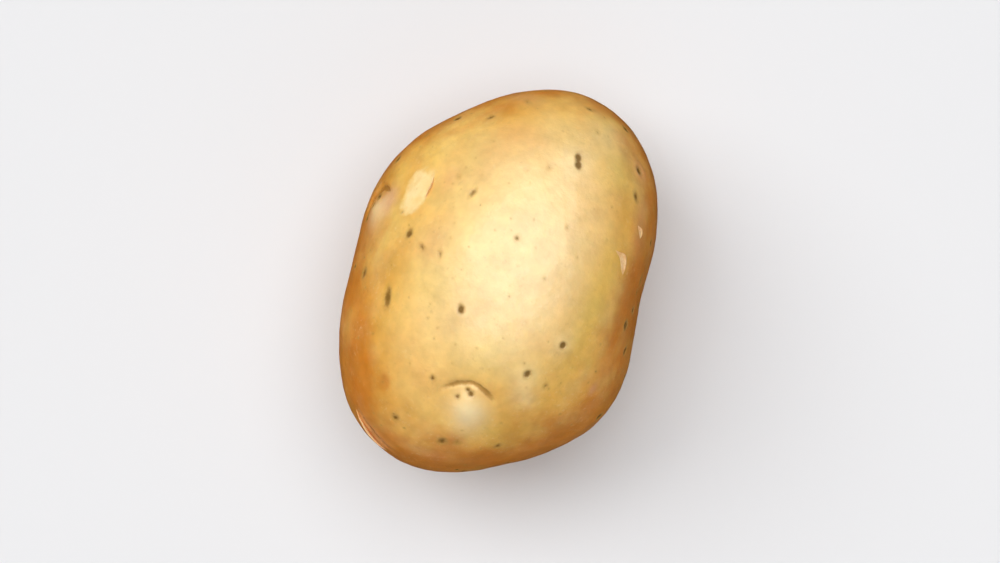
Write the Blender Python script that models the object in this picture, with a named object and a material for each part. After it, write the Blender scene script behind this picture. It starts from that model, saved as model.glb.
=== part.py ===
"""One whole potato: a small, washed, yellow-skinned table potato, grown as a single solid tuber.

The tuber lies on its broad side, on a small flat spot. +X runs along it from the stem end
to the bud end, +Y runs across it, and +Z is up through its thickness. The origin is in the
plane of the resting spot, under the middle of the tuber's outline.
"""
import math
from collections import namedtuple

import bmesh
import bpy
from mathutils import Vector, noise

MM = 0.001

# Overall sizes, measured over everything.
LENGTH = 64.4 * MM
WIDTH = 48.0 * MM
THICKNESS = 43.0 * MM

# How much of the underside is pressed flat where the tuber lies.
REST_SPOT_DEPTH = 0.8 * MM

# Gentle waves all over the skin: their height, and the distance from one to the next.
WAVE_HEIGHT = 0.30 * MM
WAVE_SPAN = 15.0 * MM

# The sphere that is shaped into the tuber is an icosphere of this many subdivisions.
SPHERE_SUBDIVISIONS = 5

# The larger swellings (height above zero) and hollows (below zero) of the body. Longitude
# turns from the bud end at 0 towards +Y at 90, and latitude rises to 90 at the top. Width and
# rise are the angles, round and up the body, at which one has fallen to about a third. All
# angles are in degrees.
Lump = namedtuple("Lump", "longitude latitude width rise height")
LUMPS = (
    Lump(343, 0, 34, 54, 2.7 * MM),      # the heel, at the bud end
    Lump(66, 0, 25, 46, 2.9 * MM),       # the cheek, in front of the waist
    Lump(151, 0, 36, 54, 2.2 * MM),      # the shoulder, behind the waist
    Lump(97, 0, 24, 50, -1.9 * MM),      # the waist, on the +Y side
    Lump(217, 0, 28, 48, -1.7 * MM),     # the sloping corner beside the stem end
    Lump(286, 0, 24, 45, -1.8 * MM),     # the long flat flank, on the -Y side
    Lump(95, 58, 40, 26, 1.3 * MM),      # the crown, over the waist
    Lump(262, 46, 44, 24, -1.0 * MM),    # the long slope from the crown down to the flank
    Lump(205, -46, 40, 26, 0.9 * MM),    # the belly, on the hidden side
    Lump(15, -44, 36, 24, -0.6 * MM),    # the lean underside of the bud end
)

# Eyes: where one lies along the body as a share of the way from the middle (0) to the bud
# end (1) or the stem end (-1), its turn about the body's length from the top (0) towards +Y
# (90), the width and depth of its shallow hollow, and the height of the bud in the hollow.
Eye = namedtuple("Eye", "along around width hollow bud")
EYES = (
    Eye(0.58, 6, 8.5 * MM, 0.5 * MM, 0.8 * MM),
    Eye(-0.13, -75, 7.5 * MM, 0.9 * MM, 0.5 * MM),
    Eye(-0.74, 58, 5.0 * MM, 0.5 * MM, 0.2 * MM),
    Eye(0.20, 124, 8.0 * MM, 1.0 * MM, 0.6 * MM),
    Eye(0.48, -132, 8.0 * MM, 1.0 * MM, 0.5 * MM),
    Eye(-0.50, 172, 7.0 * MM, 0.8 * MM, 0.4 * MM),
    Eye(0.88, 108, 6.5 * MM, 0.9 * MM, 0.5 * MM),
    Eye(0.92, -126, 6.0 * MM, 0.8 * MM, 0.4 * MM),
)

# The round scar at the stem end, where the tuber hung from its plant, placed as an eye is.
STEM_SCAR = Eye(-0.95, 150, 6.5 * MM, 1.2 * MM, 0.2 * MM)

# Shares of an eye's width: how far its hollow and its bud reach from their middles before each
# has fallen to about a third, and how far the bud lies from the hollow's middle.
HOLLOW_REACH = 0.5
BUD_REACH = 0.25
BUD_SHIFT = 0.15

SKIN_COLOR = (0.70, 0.46, 0.17, 1.0)
SKIN_ROUGHNESS = 0.45


def clear_scene():
    for thing in list(bpy.data.objects):
        bpy.data.objects.remove(thing, do_unlink=True)


def bell(distance, reach):
    """A smooth swelling: 1 in the middle, about a third at reach, and 0 far away."""
    return math.exp(-(distance / reach) ** 2)


def lump_height(lump, ray):
    """How far one swelling lifts the body in the direction of a unit vector."""
    latitude = math.degrees(math.asin(max(-1.0, min(1.0, ray.z))))
    turn = math.degrees(math.atan2(ray.y, ray.x)) - lump.longitude
    turn = (turn + 180.0) % 360.0 - 180.0
    round_way = turn * math.cos(math.radians(latitude))
    return lump.height * bell(round_way, lump.width) * bell(latitude - lump.latitude, lump.rise)


def shape_body(mesh):
    """Stretch the unit sphere to an ellipsoid, then add the swellings, hollows and waves."""
    half = Vector((LENGTH, WIDTH, THICKNESS)) / 2
    for vert in mesh.verts:
        ray = vert.co.normalized()
        point = half * ray
        lift = sum(lump_height(lump, ray) for lump in LUMPS)
        lift += WAVE_HEIGHT * noise.noise(point / WAVE_SPAN)
        vert.co = point + lift * ray


def outer_box(mesh):
    """The lowest and the highest corner of the box round a mesh."""
    low = Vector(min(vert.co[axis] for vert in mesh.verts) for axis in range(3))
    high = Vector(max(vert.co[axis] for vert in mesh.verts) for axis in range(3))
    return low, high


def bring_to_size(mesh):
    """Scale the body to its overall sizes, with what is pressed flat below the floor plane."""
    low, high = outer_box(mesh)
    wanted = Vector((LENGTH, WIDTH, THICKNESS + REST_SPOT_DEPTH))
    foot = Vector(((low.x + high.x) / 2, (low.y + high.y) / 2, low.z))
    for vert in mesh.verts:
        offset = vert.co - foot
        vert.co = Vector(offset[axis] * wanted[axis] / (high[axis] - low[axis]) for axis in range(3))
        vert.co.z -= REST_SPOT_DEPTH


def nearest_vert(mesh, along, around):
    """The vertex at a share of the half length, on a line turned about the length."""
    middle = Vector((0.0, 0.0, THICKNESS / 2))
    turn = math.radians(around)
    across = math.sqrt(1.0 - along * along)
    aim = Vector((along * LENGTH, across * math.sin(turn) * WIDTH, across * math.cos(turn) * THICKNESS))
    aim.normalize()
    return max(mesh.verts, key=lambda vert: (vert.co - middle).normalized().dot(aim))


def press_eye(mesh, eye):
    """Press one eye's hollow into the skin, and raise its bud on the side of the bud end."""
    seat = nearest_vert(mesh, eye.along, eye.around)
    centre, outward = seat.co.copy(), seat.normal.copy()
    bud_way = (Vector((1.0, 0.0, 0.0)) - outward * outward.x).normalized()
    bud = centre + bud_way * BUD_SHIFT * eye.width
    for vert in mesh.verts:
        hollow = bell((vert.co - centre).length, HOLLOW_REACH * eye.width)
        swelling = bell((vert.co - bud).length, BUD_REACH * eye.width)
        vert.co += outward * (eye.bud * swelling - eye.hollow * hollow)


def flatten_rest_spot(mesh):
    """Press flat what reaches below the floor plane."""
    for vert in mesh.verts:
        vert.co.z = max(vert.co.z, 0.0)


def skin_material():
    material = bpy.data.materials.new("potato_skin")
    material.use_nodes = True
    shader = material.node_tree.nodes["Principled BSDF"]
    shader.inputs["Base Color"].default_value = SKIN_COLOR
    shader.inputs["Roughness"].default_value = SKIN_ROUGHNESS
    shader.inputs["Metallic"].default_value = 0.0
    return material


def make_potato():
    """The whole tuber, one solid from skin to heart."""
    mesh = bmesh.new()
    bmesh.ops.create_icosphere(mesh, subdivisions=SPHERE_SUBDIVISIONS, radius=1.0)
    shape_body(mesh)
    bring_to_size(mesh)
    mesh.normal_update()
    for eye in (*EYES, STEM_SCAR):
        press_eye(mesh, eye)
    bring_to_size(mesh)
    flatten_rest_spot(mesh)
    data = bpy.data.meshes.new("potato")
    mesh.to_mesh(data)
    mesh.free()
    data.shade_smooth()
    data.materials.append(skin_material())
    return bpy.data.objects.new("potato", data)


def main():
    clear_scene()
    collection = bpy.data.collections.new("potato")
    bpy.context.scene.collection.children.link(collection)
    collection.objects.link(make_potato())


main()
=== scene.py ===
"""The look of one small, washed, yellow-skinned table potato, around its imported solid.

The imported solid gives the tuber's place, size and body. The skin made here follows it and adds
what is too fine for it: eyes with their brows and buds, pores, rubbed and cracked skin, loose
flakes, and the skin's colour and gloss. +X runs from the stem end to the bud end, +Y across
the tuber and +Z up.

Places and sizes on the tuber are in millimetres, and MM turns them into Blender's metres.
"""
import math
from collections import namedtuple

import bpy
import numpy as np
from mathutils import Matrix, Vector, noise
from mathutils.bvhtree import BVHTree


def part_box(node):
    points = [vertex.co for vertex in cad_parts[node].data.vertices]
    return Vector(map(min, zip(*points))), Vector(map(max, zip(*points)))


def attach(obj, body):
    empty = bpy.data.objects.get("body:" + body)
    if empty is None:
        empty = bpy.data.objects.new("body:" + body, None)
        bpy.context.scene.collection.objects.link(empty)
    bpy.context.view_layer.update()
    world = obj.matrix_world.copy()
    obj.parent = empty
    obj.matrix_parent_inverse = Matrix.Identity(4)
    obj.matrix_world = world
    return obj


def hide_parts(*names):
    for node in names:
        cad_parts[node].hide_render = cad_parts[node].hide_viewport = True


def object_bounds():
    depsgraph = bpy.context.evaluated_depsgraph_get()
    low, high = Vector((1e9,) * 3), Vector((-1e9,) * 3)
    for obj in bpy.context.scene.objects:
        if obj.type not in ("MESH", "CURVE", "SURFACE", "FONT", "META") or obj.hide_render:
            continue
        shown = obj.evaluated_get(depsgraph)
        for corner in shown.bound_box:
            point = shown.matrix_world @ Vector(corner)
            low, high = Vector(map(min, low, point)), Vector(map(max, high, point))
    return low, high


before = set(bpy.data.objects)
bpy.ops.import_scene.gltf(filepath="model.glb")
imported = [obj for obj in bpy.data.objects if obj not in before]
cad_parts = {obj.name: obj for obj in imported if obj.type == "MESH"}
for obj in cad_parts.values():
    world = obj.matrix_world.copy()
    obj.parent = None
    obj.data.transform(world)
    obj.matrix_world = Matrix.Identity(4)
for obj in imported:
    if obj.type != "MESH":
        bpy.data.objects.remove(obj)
CAD_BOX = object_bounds()

MM = 0.001

# The skin's grid: quads along each edge of the cube that is cast onto the solid, and the rounds
# of smoothing that take the solid's facets out of it.
GRID = 128
SMOOTHING = 30

# How far the camera's right side is turned from +X about +Z, when it looks straight down.
PICTURE_TURN = math.radians(112.0)


# ---------------------------------------------------------------------------------------------
# What is on the skin, in millimetres and degrees
# ---------------------------------------------------------------------------------------------
# Soft unevenness of the skin: its height, the distance from one rise to the next, and how many
# finer rounds lie on top of it.
Wave = namedtuple("Wave", "height span rounds")
WAVES = (Wave(0.18, 9.0, 2), Wave(0.05, 3.0, 3), Wave(0.02, 1.3, 1))

# Places all round the tuber are given as in the solid: along, as a share of half the length from
# the middle to the bud end (1) or the stem end (-1), and around, the turn about the length from
# the top towards +Y. Turn twists a feature about its own middle.
Eye = namedtuple("Eye", "along around width turn brow pale")     # brow: its crease's depth
# Pale is how strongly an eye's bud is washed pale: partly the bud's own colour and partly a painted
# highlight.
EYES = (
    Eye(0.58, 6, 8.5, 10, 0.32, 0.9),
    Eye(-0.13, -75, 7.5, 35, 0.40, 0.5),
    Eye(0.20, 124, 8.0, 12, 0.50, 0.3),
    Eye(0.48, -132, 8.0, -14, 0.50, 0.3),
    Eye(-0.50, 172, 7.0, 6, 0.40, 0.3),
    Eye(0.88, 108, 6.5, -30, 0.35, 0.2),
    Eye(0.92, -126, 6.0, 8, 0.40, 0.3),
)

Spot = namedtuple("Spot", "along around turn length width")
RING_EYE = Spot(-0.74, 58, 0, 2.6, 2.4)
STEM_SCAR = Spot(-0.95, 150, 0, 3.6, 3.2)

# An eye's brow, in shares of the eye's width: its place along the eye, how fast it curves round the
# bud, how far aside its ends begin and end to fade, and the reach of its crease and its dark line.
# The lip lies behind the crease, and its height is a share of the crease's depth.
BROW_PLACE = -0.34
BROW_BEND = 1.13
BROW_FADE = (0.30, 0.64)
CREASE_REACH = 0.05
DARK_REACH = 0.065
LIP_SHARE = 0.45
LIP_PLACE = 0.13
LIP_REACH = 0.09

# An eye's bud, in shares of the eye's width: its place, its height, and how far it reaches towards
# the brow, away from it and across.
BUD_ALONG = 0.20
BUD_ACROSS = 0.07
BUD_HEIGHT = 0.07
BUD_REACH_BROW = 0.28
BUD_REACH_AWAY = 0.46
BUD_REACH_ACROSS = 0.34

# The dark scales between brow and bud, in shares of the eye's width, and their depth.
Scale = namedtuple("Scale", "along across size")
EYE_SCALES = (Scale(-0.04, -0.17, 0.09), Scale(-0.20, -0.02, 0.10), Scale(-0.14, 0.05, 0.12))
SCALE_DARK = 0.85
SCALE_DEPTH = 0.12

# Loose flakes of skin, each rooted along one side. Curl is how far it rolls up, in degrees.
Flake = namedtuple("Flake", "along around length width turn curl")
FLAKES = (
    Flake(-0.30, 44, 4.4, 1.2, 42, 45),
    Flake(-0.47, 54, 2.2, 0.8, 25, 45),
    Flake(-0.31, -46, 3.6, 0.8, 12, 55),
    Flake(0.89, -65, 8.5, 0.9, 18, 75),
    Flake(0.34, 152, 3.4, 1.2, 30, 70),
    Flake(-0.62, -118, 2.8, 1.0, 250, 65),
)

# Blemishes that show from above, at x and y: turn is from +X towards +Y, and ragged is how uneven
# the edge is.
Patch = namedtuple("Patch", "x y length width turn ragged")
RUBBED_PATCH = Patch(-8.0, -17.2, 7.4, 4.4, 6, 0.18)
SCUFF = Patch(-5.3, -20.6, 4.4, 4.0, 0, 0.3)
BUMP = Patch(15.0, 10.3, 4.6, 3.0, 50, 0.4)

# The crack's one end, its middle and its other end, at x and y from above.
CRACK = ((26.5, -13.5), (29.0, -9.5), (30.5, -6.0))

# Pores that show from above, at x and y: their length and width, the turn of the length from +X
# towards +Y, and how dark they are, up to 1.
Pore = namedtuple("Pore", "x y length width turn dark")
PORES = (
    Pore(-22.0, 4.0, 1.5, 1.1, 22, 1.0), Pore(-21.0, 4.5, 1.5, 1.1, 22, 1.0),
    Pore(-1.5, -15.5, 1.5, 1.1, -10, 0.95), Pore(-0.5, -13.0, 1.8, 1.0, 70, 0.60),
    Pore(-0.5, -10.0, 1.6, 0.9, 22, 0.55), Pore(8.5, -15.0, 3.4, 1.3, 12, 0.80),
    Pore(6.0, -4.0, 1.5, 1.0, 22, 0.85), Pore(5.5, 12.5, 1.1, 1.0, 0, 1.0),
    Pore(11.5, 9.0, 1.2, 1.1, 0, 1.0), Pore(12.0, 12.5, 1.1, 0.9, 0, 0.55),
    Pore(-23.0, -11.0, 1.4, 1.0, -20, 0.75), Pore(-30.0, 3.0, 1.1, 1.4, 0, 0.65),
    Pore(-27.0, 5.5, 1.1, 0.9, 0, 0.50), Pore(-20.0, 14.5, 1.6, 1.0, 22, 0.80),
    Pore(-1.0, 20.5, 1.4, 1.1, 10, 1.0), Pore(26.0, 1.0, 1.7, 1.4, 0, 0.75),
    Pore(25.5, -7.0, 1.3, 1.2, 0, 0.75), Pore(25.5, 3.0, 1.5, 1.2, 0, 0.50),
    Pore(23.5, 9.0, 1.4, 1.0, 0, 0.60), Pore(-11.0, -9.0, 1.8, 1.0, 0, 0.65),
    Pore(-7.0, 0.0, 1.1, 1.0, 0, 0.60), Pore(17.5, -4.0, 1.0, 0.9, 0, 0.80),
    Pore(-12.5, -12.0, 1.4, 1.0, 60, 0.45), Pore(-11.5, 6.5, 1.1, 0.9, 0, 0.45),
    Pore(-19.0, 0.5, 1.2, 1.0, 0, 0.40), Pore(6.5, -20.0, 1.6, 1.2, 0, 0.70),
    Pore(21.0, -11.0, 1.6, 1.3, 0, 0.40), Pore(-27.5, -6.5, 2.2, 0.9, 70, 0.45),
)

# Pores strewn over the sides and underneath, and faint specks strewn everywhere: how many, the
# least distance between two, their lengths and darkness from the least to the most, how far up the
# skin may face there (1 is straight up), and the seed of their chance places.
Strewn = namedtuple("Strewn", "count apart length dark highest seed")
SIDE_PORES = Strewn(150, 1.8, (0.7, 1.5), (0.35, 1.0), 0.35, 7)
SPECKS = Strewn(260, 1.5, (0.4, 0.7), (0.25, 0.5), 1.0, 8)

# Broad soft tints of the upper side, at x and y: their length along X, their width and strength.
# The first pale tint is a painted highlight over the crown. The broad amber tints along the rim,
# and the one at -18, -8, are painted shade that deepens the edges.
Tint = namedtuple("Tint", "mark x y length width strength")
TINTS = (
    Tint("pale", -4, 3.5, 30, 17, 0.3), Tint("pale", 15, 10, 4, 4, 0.5), Tint("pale", -27, 7, 8, 8, 0.4),
    Tint("pale", -21, 4, 6, 5, 0.4), Tint("pale", 12, 9, 4, 4, 0.4), Tint("pale", 5.5, 12.5, 4, 3, 0.4),
    Tint("olive", -5, 14, 16, 5, 0.5), Tint("olive", 4, 14.5, 12, 4, 0.4),
    Tint("olive", -22.5, 10.5, 9, 8, 0.5), Tint("amber", -22, -5.5, 6, 9, 0.4),
    Tint("amber", 15.5, -17, 18, 7, 0.9), Tint("amber", 23, -14, 12, 9, 1.0),
    Tint("amber", -6, 19, 16, 5, 0.6), Tint("amber", 16, 18, 14, 6, 0.4),
    Tint("amber", 2, 19.5, 20, 5, 0.7), Tint("amber", 23, -7, 14, 10, 0.3),
    Tint("amber", 27.5, 5, 6, 16, 0.9), Tint("amber", -18, -8, 12, 7, 0.3),
    Tint("amber", 16, 13.5, 14, 6, 0.2),
    Tint("amber", 21, -10.5, 2.6, 2.2, 0.8), Tint("amber", 25, 2, 4, 3, 0.6),
    Tint("flush", 10, 19.5, 2, 1.4, 0.9), Tint("flush", -1.5, -11.5, 8, 6, 0.4),
    Tint("flush", -11.5, -13, 5, 4, 0.4), Tint("flush", -16, 17, 9, 4, 0.5),
    Tint("flush", 29, -1, 3, 12, 0.3), Tint("flush", -28, -7, 4, 9, 0.4),
)

# The way from which the painted light falls. Painted shade deepens the skin to amber all round from
# there, over a range of how much of that way the skin faces, and a painted highlight lies as a pale
# crown where the skin faces most of it.
PAINTED_LIGHT_WAY = (-0.15, -0.05, 0.99)
PAINTED_SHADE_RANGE = (0.1, 0.9)
# Painted highlight: the range and the strength of the pale crown.
PAINTED_HIGHLIGHT_RANGE = (0.68, 0.98)
PAINTED_HIGHLIGHT_STRENGTH = 0.55

# The marks that the skin's material reads from its mesh.
MARKS = ("pore", "cork", "bud", "rubbed", "flush", "amber", "olive", "pale", "flank")


# ---------------------------------------------------------------------------------------------
# The skin's mesh
# ---------------------------------------------------------------------------------------------
def sheet_place(share, cell, cells, margin=0.01):
    """A place along one side of a flat sheet of cells, each kept clear of its neighbours."""
    return (cell + margin + (1.0 - 2.0 * margin) * share) / cells


def cube_grid(count):
    """Quads of a grid on a cube: their corners, from 0 to count, and the same laid out flat."""
    row, column = (side.ravel() for side in np.indices((count, count)))
    corners, sheet = [], []
    for face in range(6):
        axis, far_side = face % 3, face // 3
        steps = ((0, 0), (1, 0), (1, 1), (0, 1)) if far_side else ((0, 0), (0, 1), (1, 1), (1, 0))
        rows = np.stack([row + step[0] for step in steps], axis=1)
        columns = np.stack([column + step[1] for step in steps], axis=1)
        quads = np.full((len(row), 4, 3), far_side * count)
        quads[:, :, (axis + 1) % 3] = rows
        quads[:, :, (axis + 2) % 3] = columns
        corners.append(quads)
        flat = (sheet_place(rows / count, axis, 3), sheet_place(columns / count, far_side, 2))
        sheet.append(np.stack(flat, axis=2))
    return np.concatenate(corners), np.concatenate(sheet)


def cast_skin(node):
    """A mesh of even quads that lies on a closed solid, all round its middle."""
    low, high = (Vector(corner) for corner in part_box(node.name))
    middle = (low + high) / 2
    tree = BVHTree.FromObject(node, bpy.context.evaluated_depsgraph_get())
    quads, sheet = cube_grid(GRID)
    places, index = np.unique(quads.reshape(-1, 3), axis=0, return_inverse=True)
    rays = np.tan((2.0 * places / GRID - 1.0) * math.pi / 4)
    points = [tree.ray_cast(middle, Vector(ray).normalized())[0] for ray in rays]
    mesh = bpy.data.meshes.new("potato_skin")
    mesh.from_pydata(points, [], index.reshape(-1, 4).tolist())
    mesh.uv_layers.new(name="OFBake").data.foreach_set("uv", sheet.ravel())
    return mesh


def new_object(name, mesh):
    obj = bpy.data.objects.new(name, mesh)
    bpy.context.scene.collection.objects.link(obj)
    return obj


def apply_modifiers(obj):
    made = obj.evaluated_get(bpy.context.evaluated_depsgraph_get())
    obj.data = bpy.data.meshes.new_from_object(made)
    obj.modifiers.clear()
    obj.data.shade_smooth()


def make_skin():
    skin = new_object("potato_skin", cast_skin(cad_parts["potato"]))
    skin.modifiers.new("smooth", "SMOOTH").iterations = SMOOTHING
    apply_modifiers(skin)
    return skin


# ---------------------------------------------------------------------------------------------
# Tools for relief and marks
# ---------------------------------------------------------------------------------------------
Seat = namedtuple("Seat", "centre out along across")


def bell(distance, reach=1.0):
    """A smooth hump: 1 in the middle, about a third at reach, and 0 far away."""
    return np.exp(-(distance / reach) ** 2)


def smooth_step(value, low, high):
    """Rises smoothly from 0 at low to 1 at high."""
    share = np.clip((value - low) / (high - low), 0.0, 1.0)
    return share * share * (3.0 - 2.0 * share)


def unit(vector):
    return vector / np.linalg.norm(vector)


class Relief:
    """The skin in millimetres: its points, its normals, the lift along them, and its marks."""

    def __init__(self, mesh):
        self.mesh = mesh
        self.points = self.read(mesh.vertices, "co") / MM
        self.normals = self.read(mesh.vertex_normals, "vector")
        self.lift = np.zeros(len(self.points))
        self.marks = {mark: np.zeros(len(self.points)) for mark in MARKS}
        self.low, self.high = self.points.min(axis=0), self.points.max(axis=0)
        self.ragged = self.noise(1.6, 3, 90.0)

    @staticmethod
    def read(items, field):
        values = np.empty(len(items) * 3)
        items.foreach_get(field, values)
        return values.reshape(-1, 3)

    def write(self):
        """Put the lifted points and the marks into the mesh, with nothing below the floor."""
        points = self.points + self.normals * self.lift[:, None]
        points[:, 2] = np.maximum(points[:, 2], 0.0)
        self.mesh.vertices.foreach_set("co", (points * MM).ravel())
        for name, values in self.marks.items():
            layer = self.mesh.attributes.new(name, "FLOAT", "POINT")
            layer.data.foreach_set("value", np.clip(values, 0.0, 1.0))
        self.mesh.update()

    def noise(self, span, rounds, shift):
        """Noise at every point, about -1 to 1: span is the distance from one rise to the next."""
        places = self.points / span + shift
        return np.array([noise.fractal(place, 1.0, 2.0, rounds) for place in places])

    def seat(self, index, turn=0.0):
        """A vertex as the middle of a feature, with directions along and across it."""
        out = self.normals[index]
        along = unit(np.array([1.0, 0.0, 0.0]) - out * out[0])
        turn = math.radians(turn)
        along = along * math.cos(turn) + np.cross(out, along) * math.sin(turn)
        return Seat(self.points[index], out, along, np.cross(out, along))

    def seat_from_above(self, x, y, turn=0.0):
        aside = np.hypot(self.points[:, 0] - x, self.points[:, 1] - y)
        aside[self.normals[:, 2] < 0.0] = np.inf
        return self.seat(int(aside.argmin()), turn)

    def seat_of(self, feature):
        """The seat of a feature that is placed along and around the tuber."""
        around = math.radians(feature.around)
        across = math.sqrt(1.0 - feature.along ** 2)
        share = np.array([feature.along, across * math.sin(around), across * math.cos(around)])
        return self.seat_towards(share * (self.high - self.low), feature.turn)

    def seat_towards(self, ray, turn=0.0):
        ways = self.points - (self.low + self.high) / 2
        return self.seat(int((ways @ ray / np.linalg.norm(ways, axis=1)).argmax()), turn)

    def flat(self, seat):
        """Distances along and across a seat, with the far side of the tuber left far away."""
        offset = self.points - seat.centre
        far = np.where(self.normals @ seat.out < 0.0, 1000.0, 0.0)
        return offset @ seat.along + far, offset @ seat.across + far

    def oval(self, seat, length, width, ragged=0.0, power=2.0):
        """Distance from a seat as a share of an oval's half sizes: 1 all along its edge."""
        along, across = self.flat(seat)
        share = np.abs(2.0 * along / length) ** power + np.abs(2.0 * across / width) ** power
        return share ** (1.0 / power) + ragged * self.ragged

    def patch(self, patch, power=2.0):
        """The oval share of a patch that is placed from above."""
        seat = self.seat_from_above(patch.x, patch.y, patch.turn)
        return self.oval(seat, patch.length, patch.width, patch.ragged, power)

    def path(self, places):
        """Distance to a line through places seen from above."""
        ends = [self.seat_from_above(x, y).centre for x, y in places]
        distance = np.full(len(self.points), np.inf)
        for start, end in zip(ends, ends[1:]):
            way = end - start
            share = np.clip((self.points - start) @ way / (way @ way), 0.0, 1.0)
            aside = np.linalg.norm(self.points - start - share[:, None] * way, axis=1)
            distance = np.minimum(distance, aside)
        return distance

    def deepen(self, mark, values):
        """Raise a mark to the given values wherever it is lower."""
        self.marks[mark] = np.maximum(self.marks[mark], values)

    def stamp(self, mark, share, strength=1.0):
        """Mark a crisp shape: half its strength where its share is 1, and 0 from twice that."""
        self.deepen(mark, strength * np.clip(1.0 - share / 2.0, 0.0, 1.0))

    def wash(self, mark, share, strength=1.0):
        """Tint a soft-edged shape."""
        self.marks[mark] += strength * bell(share)


# ---------------------------------------------------------------------------------------------
# What is on the skin
# ---------------------------------------------------------------------------------------------
def add_waves(relief):
    """Soft unevenness all over, fading out where the tuber lies on the floor."""
    for number, wave in enumerate(WAVES):
        relief.lift += wave.height * relief.noise(wave.span, wave.rounds, 31.0 * (number + 1))
    relief.lift *= smooth_step(relief.points[:, 2], 0.0, 1.0)


def add_eye(relief, eye):
    """An eye's brow, the bud below it, and the bud's dark scales."""
    along, across = (distance / eye.width for distance in relief.flat(relief.seat_of(eye)))
    add_brow(relief, eye, along, across)
    add_bud(relief, eye, along, across)
    for scale in EYE_SCALES:
        share = np.hypot(along - scale.along, across - scale.across) / (scale.size / 2)
        relief.stamp("pore", share + 0.3 * relief.ragged, SCALE_DARK)
        relief.lift -= SCALE_DEPTH * bell(share)


def add_brow(relief, eye, along, across):
    """The dark crease that curves over an eye, and the lip on its far side."""
    arc = BROW_PLACE + BROW_BEND * across ** 2 + 0.03 * relief.ragged
    aside = (along - arc) / np.hypot(1.0, 2.0 * BROW_BEND * across)
    fade = 1.0 - smooth_step(np.abs(across), *BROW_FADE)
    lip = LIP_SHARE * bell(aside + LIP_PLACE, LIP_REACH)
    relief.lift += eye.brow * fade * (lip - bell(aside, CREASE_REACH))
    uneven = 0.75 + 0.25 * bell(across - 0.25, 0.15)
    relief.deepen("cork", uneven * fade * bell(aside, DARK_REACH))


def add_bud(relief, eye, along, across):
    """The pale swelling of a bud, which ends short towards the brow. Its pale wash is partly a painted
    highlight.
    """
    reach = np.where(along < BUD_ALONG, BUD_REACH_BROW, BUD_REACH_AWAY)
    share = np.hypot((along - BUD_ALONG) / reach, (across - BUD_ACROSS) / BUD_REACH_ACROSS)
    relief.lift += BUD_HEIGHT * eye.width * bell(share)
    relief.wash("bud", share, eye.pale)


def add_pore(relief, seat, length, width, dark):
    share = relief.oval(seat, length, width, ragged=0.25)
    relief.stamp("pore", share, dark)
    relief.lift += dark * (0.03 * bell(share - 1.4, 0.5) - 0.12 * bell(share, 0.9))


def strew_pores(relief, strewn):
    """Pores in chance places, on the skin that faces no higher than the highest slope."""
    rng = np.random.default_rng(strewn.seed)
    placed = []
    while len(placed) < strewn.count:
        seat = relief.seat_towards(rng.normal(size=3), rng.uniform(0.0, 180.0))
        length, dark = rng.uniform(*strewn.length), rng.uniform(*strewn.dark)
        width = length * rng.uniform(0.6, 1.0)
        close = any(np.linalg.norm(seat.centre - other) < strewn.apart for other in placed)
        if seat.out[2] > strewn.highest or close:
            continue
        placed.append(seat.centre)
        add_pore(relief, seat, length, width, dark)


def add_scar(relief):
    """The corky round scar at the stem end."""
    share = relief.oval(relief.seat_of(STEM_SCAR), STEM_SCAR.length, STEM_SCAR.width, ragged=0.15)
    relief.lift += 0.25 * bell(share - 1.25, 0.4) - 0.55 * bell(share, 0.8) + 0.3 * bell(share, 0.3)
    relief.stamp("cork", 0.8 * share)
    relief.wash("flush", share / 2.2, 0.6)


def add_ring_eye(relief):
    """A young eye that is no more than a pink ring round a dark point."""
    seat = relief.seat_of(RING_EYE)
    share = relief.oval(seat, RING_EYE.length, RING_EYE.width, ragged=0.15)
    relief.lift += 0.15 * bell(share - 1.0, 0.35) - 0.2 * bell(share, 0.5)
    relief.wash("flush", share / 1.3, 0.8)
    relief.stamp("pore", relief.oval(seat, 1.2, 1.0), 0.9)


def add_rubbed_patch(relief):
    """A patch rubbed bare, with a thin raised edge, and the pink scuff beside it."""
    rubbed = relief.patch(RUBBED_PATCH, power=3.0)
    relief.stamp("rubbed", rubbed)
    relief.lift += 0.05 * bell(rubbed - 1.08, 0.08) - 0.07 * (1.0 - smooth_step(rubbed, 0.9, 1.02))
    scuff = relief.patch(SCUFF)
    relief.wash("flush", scuff, 1.0)
    relief.wash("pale", scuff / 0.8, 0.7)


def add_bump(relief):
    """The small bump beside the eye at the bud end."""
    relief.lift += 0.30 * bell(relief.patch(BUMP))


def add_crack(relief):
    """A split in the skin by the bud end, with a raised rim, that closes towards its ends."""
    crack = relief.path(CRACK) + 0.3 * relief.ragged
    middle = relief.seat_from_above(*CRACK[1]).centre
    open_share = 1.0 - smooth_step(np.linalg.norm(relief.points - middle, axis=1), 1.5, 5.5)
    relief.lift += open_share * (0.12 * bell(crack - 0.8, 0.35) - 0.30 * bell(crack, 0.35))
    relief.deepen("cork", 0.9 * open_share * bell(crack, 0.4))
    relief.wash("flush", crack / 1.2, 0.8 * open_share)


def add_tints(relief):
    """A painted highlight as a pale crown, painted shade deepening the flanks, and tints in patches on
    the upper side.
    """
    facing = relief.normals @ np.array(PAINTED_LIGHT_WAY)
    underside = smooth_step(-relief.normals[:, 2], 0.0, 0.9)
    # Painted shade: amber deepens the skin as it faces away from the painted light, half as much
    # underneath.
    relief.marks["flank"] = (1.0 - smooth_step(facing, *PAINTED_SHADE_RANGE)) * (1.0 - 0.5 * underside)
    # Painted highlight: a pale crown where the skin faces the painted light most.
    relief.marks["pale"] += PAINTED_HIGHLIGHT_STRENGTH * smooth_step(facing, *PAINTED_HIGHLIGHT_RANGE)
    for tint in TINTS:
        seat = relief.seat_from_above(tint.x, tint.y)
        share = relief.oval(seat, tint.length, tint.width, ragged=0.15)
        relief.wash(tint.mark, share, tint.strength)


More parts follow.
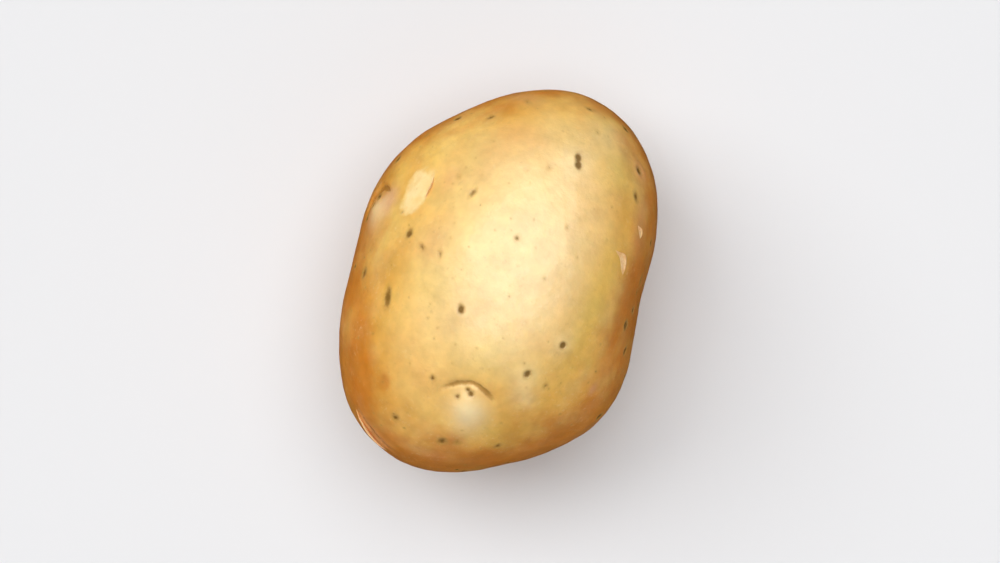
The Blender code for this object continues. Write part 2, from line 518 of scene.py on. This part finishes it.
def work_skin(mesh):
    relief = Relief(mesh)
    add_waves(relief)
    for eye in EYES:
        add_eye(relief, eye)
    add_ring_eye(relief)
    add_scar(relief)
    for pore in PORES:
        seat = relief.seat_from_above(pore.x, pore.y, pore.turn)
        add_pore(relief, seat, pore.length, pore.width, pore.dark)
    strew_pores(relief, SIDE_PORES)
    strew_pores(relief, SPECKS)
    add_rubbed_patch(relief)
    add_bump(relief)
    add_crack(relief)
    add_tints(relief)
    relief.write()


# ---------------------------------------------------------------------------------------------
# Loose flakes of skin
# ---------------------------------------------------------------------------------------------
FLAKE_GRID = (15, 7)
FLAKE_THICKNESS = 0.08
FLAKE_ROOT = 0.04       # how deep a flake's root edge is set in the skin


def flake_points(flake, seat, tree):
    """Rows of points across a flake, from its root on the skin to its rolled-up free edge."""
    curl = math.radians(flake.curl)
    points = []
    for share in np.linspace(-1.0, 1.0, FLAKE_GRID[0]):
        sway = 0.5 * noise.noise(Vector((0.8 * share, flake.around + 0.5, 0.5)))
        ripple = noise.noise(Vector((1.7 * share, flake.around + 0.5, 9.5)))
        near = seat.centre + seat.along * share * flake.length / 2 + seat.across * sway * flake.width
        root, out = tree.find_nearest(Vector(near) * MM)[:2]
        across = (Vector(seat.across) - out * out.dot(Vector(seat.across))).normalized()
        reach = flake.width * (1.0 + 0.4 * ripple) * max(1.0 - share ** 2, 0.04)
        for step in np.linspace(0.0, 1.0, FLAKE_GRID[1]):
            aside = reach * math.sin(curl * step) / curl
            rise = reach * (1.0 - math.cos(curl * step)) / curl - FLAKE_ROOT
            points.append(root + (across * aside + out * rise) * MM)
    return points


def make_flakes(skin):
    """All the flakes as one piece, each a thin closed sheet."""
    relief = Relief(skin.data)
    tree = BVHTree.FromObject(skin, bpy.context.evaluated_depsgraph_get())
    rows, steps = FLAKE_GRID
    points, faces = [], []
    for flake in FLAKES:
        first = len(points)
        points += flake_points(flake, relief.seat_of(flake), tree)
        for row in range(rows - 1):
            for step in range(steps - 1):
                corner = first + row * steps + step
                faces.append((corner, corner + steps, corner + steps + 1, corner + 1))
    mesh = bpy.data.meshes.new("skin_flakes")
    mesh.from_pydata(points, [], faces)
    flakes = new_object("skin_flakes", mesh)
    solidify = flakes.modifiers.new("thickness", "SOLIDIFY")
    solidify.thickness = FLAKE_THICKNESS * MM
    solidify.offset = 0.0
    apply_modifiers(flakes)
    return flakes


# ---------------------------------------------------------------------------------------------
# Materials
# ---------------------------------------------------------------------------------------------
# AMBER also colours the painted shade round the flanks and along the rim, and PALE the painted highlight
# on the crown.
STRAW = (0.86, 0.56, 0.14, 1.0)
GOLD = (0.83, 0.46, 0.075, 1.0)
AMBER = (0.60, 0.18, 0.003, 1.0)
OLIVE = (0.74, 0.51, 0.08, 1.0)
PALE = (0.93, 0.73, 0.38, 1.0)
BUD = (1.0, 0.81, 0.46, 1.0)
RUBBED = (0.96, 0.76, 0.38, 1.0)
FLUSH = (0.72, 0.34, 0.14, 1.0)
CORK = (0.24, 0.10, 0.015, 1.0)
PORE_RING = (0.48, 0.26, 0.05, 1.0)
PORE = (0.15, 0.07, 0.009, 1.0)
FLAKE = (0.90, 0.58, 0.30, 1.0)
FLAKE_SHADE = (0.78, 0.41, 0.15, 1.0)


class Nodes:
    """A short way to write a material's nodes. Patterns lie on the object, in millimetres."""

    def __init__(self, material):
        material.use_nodes = True
        self.tree = material.node_tree
        self.shader = self.tree.nodes["Principled BSDF"]
        place = self.add("ShaderNodeTexCoord").outputs["Object"]
        scaled = self.add("ShaderNodeVectorMath", {0: place, "Scale": 1.0 / MM}, operation="SCALE")
        self.place = scaled.outputs[0]

    def add(self, kind, sockets=None, **settings):
        node = self.tree.nodes.new(kind)
        for name, value in settings.items():
            setattr(node, name, value)
        for name, value in (sockets or {}).items():
            self.set(node.inputs[name], value)
        return node

    def set(self, socket, value):
        if isinstance(value, bpy.types.NodeSocket):
            self.tree.links.new(value, socket)
        else:
            socket.default_value = value

    def math(self, operation, first, second):
        return self.add("ShaderNodeMath", {0: first, 1: second}, operation=operation).outputs[0]

    def mark(self, name):
        return self.add("ShaderNodeAttribute", attribute_name=name).outputs["Fac"]

    def noise(self, span, seed, detail=2.0):
        """Soft noise from 0 to 1: span is the distance from one patch to the next."""
        sockets = {"Vector": self.place, "Scale": 1.0 / span, "Detail": detail, "W": float(seed)}
        return self.add("ShaderNodeTexNoise", sockets, noise_dimensions="4D").outputs[0]

    def steps(self, value, low, high, bottom=0.0, top=1.0):
        """Goes smoothly from bottom, where the value is low, to top, where it is high."""
        sockets = {"Value": value, "From Min": low, "From Max": high, "To Min": bottom, "To Max": top}
        node = self.add("ShaderNodeMapRange", sockets, interpolation_type="SMOOTHSTEP")
        return node.outputs["Result"]

    def patches(self, span, seed, low, high, bottom=0.0, top=1.0):
        """Noise in soft-edged patches."""
        return self.steps(self.noise(span, seed, detail=4.0), low, high, bottom, top)

    def frayed(self, name, fray, low, high):
        """A mark whose edge is frayed by fine noise."""
        ragged = self.math("MULTIPLY", self.math("SUBTRACT", self.noise(0.6, 3, detail=3.0), 0.5), fray)
        return self.steps(self.math("ADD", self.mark(name), ragged), low, high)

    def mix(self, share, first, second):
        node = self.add("ShaderNodeMix", data_type="RGBA")
        for place, value in ((0, share), (6, first), (7, second)):
            self.set(node.inputs[place], value)
        return node.outputs[2]

    def shade(self, colour, factor):
        """Multiply a colour by a value."""
        node = self.add("ShaderNodeVectorMath", {0: colour, "Scale": factor}, operation="SCALE")
        return node.outputs[0]


def new_material(name, roughness):
    material = bpy.data.materials.new(name)
    nodes = Nodes(material)
    nodes.shader.inputs["Roughness"].default_value = roughness
    return material, nodes


def skin_tone(nodes):
    """Golden skin, straw-coloured in patches, with painted shade deepening it to amber round the flanks,
    and soft tints.
    """
    colour = nodes.mix(nodes.patches(14.0, 1, 0.35, 0.65), GOLD, STRAW)
    # Painted shade: amber deepens the skin round the flanks, broken up by noise.
    flank = nodes.math("ADD", nodes.mark("flank"), nodes.patches(5.0, 2, 0.3, 0.7, -0.25, 0.2))
    colour = nodes.mix(nodes.steps(flank, -0.1, 0.9, 0.0, 0.90), colour, AMBER)
    # The pale mark brings the painted highlight on the crown as well as pale patches, and the amber mark
    # the painted shade along the rim as well as amber patches.
    for mark, tone, span, most in (("olive", OLIVE, 9.0, 0.35), ("amber", AMBER, 12.0, 0.30),
                                   ("pale", PALE, 6.0, 0.12), ("flush", FLUSH, 7.0, 0.12)):
        strewn = nodes.patches(span, 10.0 + span, 0.50, 0.72, 0.0, most)
        amount = nodes.math("MAXIMUM", strewn, nodes.mark(mark))
        colour = nodes.mix(nodes.math("MULTIPLY", amount, 0.8), colour, tone)
    for tone, seed, most in ((CORK, 41, 0.14), (PALE, 42, 0.22), (FLUSH, 43, 0.20)):
        flecks = nodes.math("MULTIPLY", nodes.patches(0.6, seed, 0.55, 0.75, 0.0, most),
                            nodes.patches(5.0, seed + 10, 0.42, 0.60))
        colour = nodes.mix(flecks, colour, tone)
    mottle = nodes.math("MULTIPLY", nodes.patches(1.6, 5, 0.25, 0.75, 0.93, 1.05),
                        nodes.patches(5.0, 7, 0.30, 0.70, 0.93, 1.05))
    return nodes.shade(colour, mottle)


def skin_colour(nodes, pore, cork, rubbed):
    """The skin's tone, with the buds, the rubbed patch, the corky places and the pores on it."""
    colour = skin_tone(nodes)
    # The bud's pale wash: partly the bud's own colour and partly a painted highlight.
    colour = nodes.mix(nodes.math("MULTIPLY", nodes.mark("bud"), 0.9), colour, BUD)
    colour = nodes.mix(rubbed, colour, RUBBED)
    colour = nodes.mix(nodes.math("MULTIPLY", cork, 0.65), colour, CORK)
    # Pore rings are stronger where the painted shade lies.
    ring = nodes.math("MULTIPLY", nodes.frayed("pore", 0.25, 0.05, 0.42),
                      nodes.steps(nodes.mark("flank"), 0.0, 0.5, 0.35, 0.75))
    colour = nodes.mix(ring, colour, PORE_RING)
    return nodes.mix(nodes.math("MULTIPLY", pore, 0.85), colour, PORE)


def skin_bump(nodes, pore):
    """A fine grain on gentle unevenness, with the pores sunk into it."""
    uneven = nodes.math("MULTIPLY", nodes.noise(2.4, 9, detail=3.0), 1.5)
    grain = nodes.math("ADD", nodes.noise(0.55, 8, detail=4.0), uneven)
    height = nodes.math("SUBTRACT", nodes.math("MULTIPLY", grain, 0.04),
                        nodes.math("MULTIPLY", pore, 0.08))
    return nodes.add("ShaderNodeBump", {"Height": height, "Distance": MM}).outputs[0]


def set_skin_gloss(nodes, pore, cork, rubbed):
    """Satin skin that is dull where it is dry."""
    dry = nodes.math("MAXIMUM", nodes.math("MAXIMUM", pore, cork), nodes.math("MULTIPLY", rubbed, 0.6))
    satin = nodes.patches(2.2, 6, 0.2, 0.8, 0.35, 0.45)
    roughness = nodes.math("ADD", satin, nodes.math("MULTIPLY", dry, 0.3))
    nodes.set(nodes.shader.inputs["Roughness"], roughness)
    nodes.set(nodes.shader.inputs["Specular IOR Level"], nodes.steps(dry, 0.0, 1.0, 0.5, 0.1))


def skin_material():
    material, nodes = new_material("potato_skin", 0.4)
    pore = nodes.frayed("pore", 0.35, 0.30, 0.72)
    cork = nodes.frayed("cork", 0.50, 0.20, 0.80)
    rubbed = nodes.math("MULTIPLY", nodes.frayed("rubbed", 0.20, 0.38, 0.62),
                        nodes.patches(1.6, 22, 0.3, 0.7, 0.45, 0.85))
    inputs = nodes.shader.inputs
    nodes.set(inputs["Base Color"], skin_colour(nodes, pore, cork, rubbed))
    nodes.set(inputs["Normal"], skin_bump(nodes, pore))
    set_skin_gloss(nodes, pore, cork, rubbed)
    inputs["IOR"].default_value = 1.5
    inputs["Subsurface Weight"].default_value = 0.15
    inputs["Subsurface Radius"].default_value = (1.0, 0.5, 0.2)
    inputs["Subsurface Scale"].default_value = 1.5 * MM
    return material


def flake_material():
    """Dry, thin skin that lets some light through."""
    material, nodes = new_material("flake", 0.6)
    colour = nodes.mix(nodes.patches(0.8, 31, 0.3, 0.7), FLAKE_SHADE, FLAKE)
    nodes.set(nodes.shader.inputs["Base Color"], colour)
    bump = nodes.add("ShaderNodeBump", {"Height": nodes.noise(0.3, 32), "Distance": 0.05 * MM})
    nodes.set(nodes.shader.inputs["Normal"], bump.outputs[0])
    nodes.shader.inputs["Specular IOR Level"].default_value = 0.2
    nodes.shader.inputs["Subsurface Weight"].default_value = 0.2
    nodes.shader.inputs["Subsurface Scale"].default_value = 0.5 * MM
    return material


# ---------------------------------------------------------------------------------------------
# Floor, light and camera
# ---------------------------------------------------------------------------------------------
FLOOR_COLOR = (0.77, 0.77, 0.78, 1.0)
FLOOR_RADIUS = 4.0
BACKDROP_COLOR = (0.98, 0.98, 1.0, 1.0)
BACKDROP_STRENGTH = 0.87
AMBIENT_STRENGTH = 0.20
LENS = 100.0
CAMERA_HEIGHT = 0.46

# Soft lamps far away: the angle in the picture, from its right, and the rise off the floor from
# which one shines, the angle that it fills, and its strength. A glossy one makes only gloss, and
# the others make none.
Lamp = namedtuple("Lamp", "name angle rise spread strength glossy")
LAMPS = (
    Lamp("top_lamp", 78.0, 78.0, 60.0, 2.0, False),
    Lamp("side_lamp", 150.0, 45.0, 40.0, 1.2, False),
    Lamp("fill_lamp", -75.0, 20.0, 60.0, 0.3, False),
    Lamp("sheen_lamp", 78.0, 72.0, 75.0, 5.5, True),
)


def make_floor():
    turns = np.linspace(0.0, 2.0 * math.pi, 64, endpoint=False)
    corners = [Vector((math.cos(turn), math.sin(turn), 0.0)) * FLOOR_RADIUS for turn in turns]
    mesh = bpy.data.meshes.new("floor")
    mesh.from_pydata(corners, [], [list(range(len(corners)))])
    floor = new_object("floor", mesh)
    material = bpy.data.materials.new("floor")
    material.use_nodes = True
    shader = material.node_tree.nodes["Principled BSDF"]
    shader.inputs["Base Color"].default_value = FLOOR_COLOR
    shader.inputs["Roughness"].default_value = 1.0
    shader.inputs["Specular IOR Level"].default_value = 0.0
    mesh.materials.append(material)
    floor.visible_glossy = False


def picture_way(angle, rise):
    """A direction given by its angle in the picture, from its right, and its rise off the floor."""
    turn, rise = PICTURE_TURN + math.radians(angle), math.radians(rise)
    return Vector((math.cos(turn) * math.cos(rise), math.sin(turn) * math.cos(rise), math.sin(rise)))


def add_lamp(lamp):
    light = bpy.data.lights.new(lamp.name, "SUN")
    light.energy = lamp.strength
    light.angle = math.radians(lamp.spread)
    stand = new_object(lamp.name, light)
    stand.rotation_euler = picture_way(lamp.angle, lamp.rise).to_track_quat("Z", "Y").to_euler()
    stand.visible_glossy = lamp.glossy
    stand.visible_diffuse = not lamp.glossy


def make_world():
    """A backdrop that is pale to the eye and dim as a light, and that the skin doesn't mirror."""
    world = bpy.data.worlds.new("studio")
    world.use_nodes = True
    tree = world.node_tree
    background = tree.nodes["Background"]
    background.inputs["Color"].default_value = BACKDROP_COLOR
    path = tree.nodes.new("ShaderNodeLightPath")
    strength = tree.nodes.new("ShaderNodeMix")
    tree.links.new(path.outputs["Is Camera Ray"], strength.inputs["Factor"])
    strength.inputs["A"].default_value = AMBIENT_STRENGTH
    strength.inputs["B"].default_value = BACKDROP_STRENGTH
    tree.links.new(strength.outputs["Result"], background.inputs["Strength"])
    world.cycles_visibility.glossy = False
    bpy.context.scene.world = world


def make_camera():
    """Straight down on the tuber, turned as the tuber lies in the picture."""
    data = bpy.data.cameras.new("camera")
    data.lens = LENS
    data.clip_start, data.clip_end = 0.01, 50.0
    camera = new_object("camera", data)
    low, high = (Vector(corner) for corner in CAD_BOX)
    camera.location = ((low.x + high.x) / 2, (low.y + high.y) / 2, CAMERA_HEIGHT)
    camera.rotation_euler = (0.0, 0.0, PICTURE_TURN)
    bpy.context.scene.camera = camera


def make_stage():
    make_floor()
    for lamp in LAMPS:
        add_lamp(lamp)
    make_world()
    make_camera()
    bpy.context.scene.view_settings.view_transform = "Standard"


def main():
    skin = make_skin()
    work_skin(skin.data)
    skin.data.materials.append(skin_material())
    flakes = make_flakes(skin)
    flakes.data.materials.append(flake_material())
    for piece in (skin, flakes):
        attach(piece, "root")
    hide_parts("potato")
    make_stage()


main()
